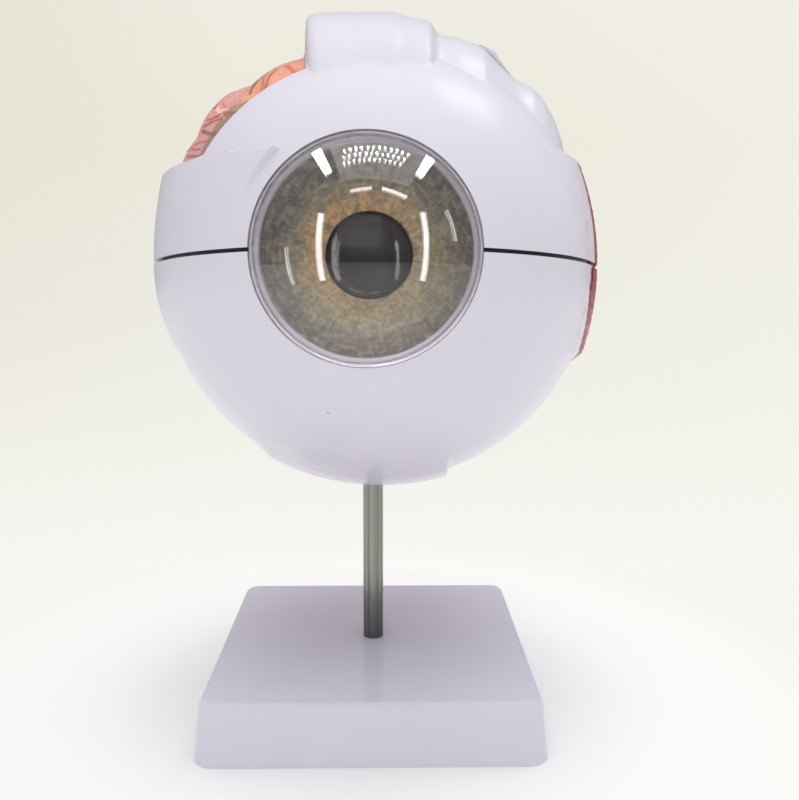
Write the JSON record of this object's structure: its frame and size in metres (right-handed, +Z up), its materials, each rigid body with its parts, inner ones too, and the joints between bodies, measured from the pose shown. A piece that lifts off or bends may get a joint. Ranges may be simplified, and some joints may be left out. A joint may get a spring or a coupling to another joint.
{
  "type": "eye anatomy model",
  "caption": "Enlarged take-apart model of a human eye on a steel rod and square base; halves, cornea, iris, lens and vitreous body lift off.",
  "frame": {"origin": "centre of the base's underside, on the table, on the axis of the rod", "axes": "+Z up along the rod, -Y towards the viewer that the eye looks at, +X to that viewer's right, the side of the nose"},
  "size_m": [0.1686, 0.1825, 0.2614],
  "materials": {
    "base_white": "glossy lavender-white moulding",
    "insert_brass": "turned brass",
    "rod_steel": "polished bright steel",
    "sclera_white": "glossy lavender-white moulding",
    "choroid_brown": "painted red-brown outside, orange inside",
    "pin_white": "smooth",
    "muscle_red": "painted, fibrous",
    "oblique_white": "lavender tendon running into painted red",
    "sheath_cream": "smooth",
    "nerve_yellow": "fibrous",
    "artery_red": "smooth",
    "vein_blue": "smooth",
    "window_orange": "painted with vessels",
    "vitreous_clear": "clear moulding",
    "lens_clear": "clear moulding",
    "iris_hazel": "printed fibres under gloss",
    "ciliary_brown": "folded, painted",
    "cornea_clear": "clear moulding"
  },
  "bodies": {
    "stand": {"base_plate": "base_white", "insert_nut": "insert_brass", "rod": "rod_steel"},
    "eyeball": {"lower_sclera": "sclera_white", "lower_choroid": "choroid_brown", "locating_pins": "pin_white", "inferior_rectus": "muscle_red", "lower_medial_rectus": "muscle_red", "lower_lateral_rectus": "muscle_red", "inferior_oblique": "muscle_red", "nerve_sheath": "sheath_cream", "optic_nerve": "nerve_yellow", "central_artery": "artery_red", "central_vein": "vein_blue"},
    "upper_half": {"upper_sclera": "sclera_white", "window_choroid": "window_orange", "superior_rectus": "muscle_red", "upper_medial_rectus": "muscle_red", "upper_lateral_rectus": "muscle_red", "superior_oblique": "oblique_white"},
    "upper_choroid": {"upper_choroid": "choroid_brown"},
    "vitreous": {"vitreous_body": "vitreous_clear"},
    "lens": {"lens": "lens_clear"},
    "iris": {"iris": "iris_hazel", "ciliary_body": "ciliary_brown"},
    "cornea": {"cornea": "cornea_clear"}
  },
  "joints": [
    {"name": "eyeball_swivel", "type": "hinge", "parent": "stand", "child": "eyeball", "pos_m": [0, 0, 0.095], "axis": [0, 0, 1], "continuous": true},
    {"name": "upper_half_lift", "type": "slide", "parent": "eyeball", "child": "upper_half", "axis": [0.0034, 0.0714, 0.9974], "range_m": [0, 0.3]},
    {"name": "upper_choroid_lift", "type": "slide", "parent": "eyeball", "child": "upper_choroid", "axis": [0.0034, 0.0714, 0.9974], "range_m": [0, 0.18]},
    {"name": "vitreous_lift", "type": "slide", "parent": "eyeball", "child": "vitreous", "axis": [0.0034, 0.0714, 0.9974], "range_m": [0, 0.09]},
    {"name": "cornea_pull", "type": "slide", "parent": "eyeball", "child": "cornea", "axis": [-0.047, -0.9963, 0.0715], "range_m": [0, 0.09]},
    {"name": "iris_pull", "type": "slide", "parent": "vitreous", "child": "iris", "axis": [-0.047, -0.9963, 0.0715], "range_m": [0, 0.054]},
    {"name": "lens_pull", "type": "slide", "parent": "vitreous", "child": "lens", "axis": [-0.047, -0.9963, 0.0715], "range_m": [0, 0.0315]}
  ],
  "couplings": [
    {"joint": "upper_choroid_lift", "follows": "upper_half_lift", "ratio": 0.6},
    {"joint": "vitreous_lift", "follows": "upper_half_lift", "ratio": 0.3},
    {"joint": "iris_pull", "follows": "cornea_pull", "ratio": 0.6},
    {"joint": "lens_pull", "follows": "cornea_pull", "ratio": 0.35}
  ]
}
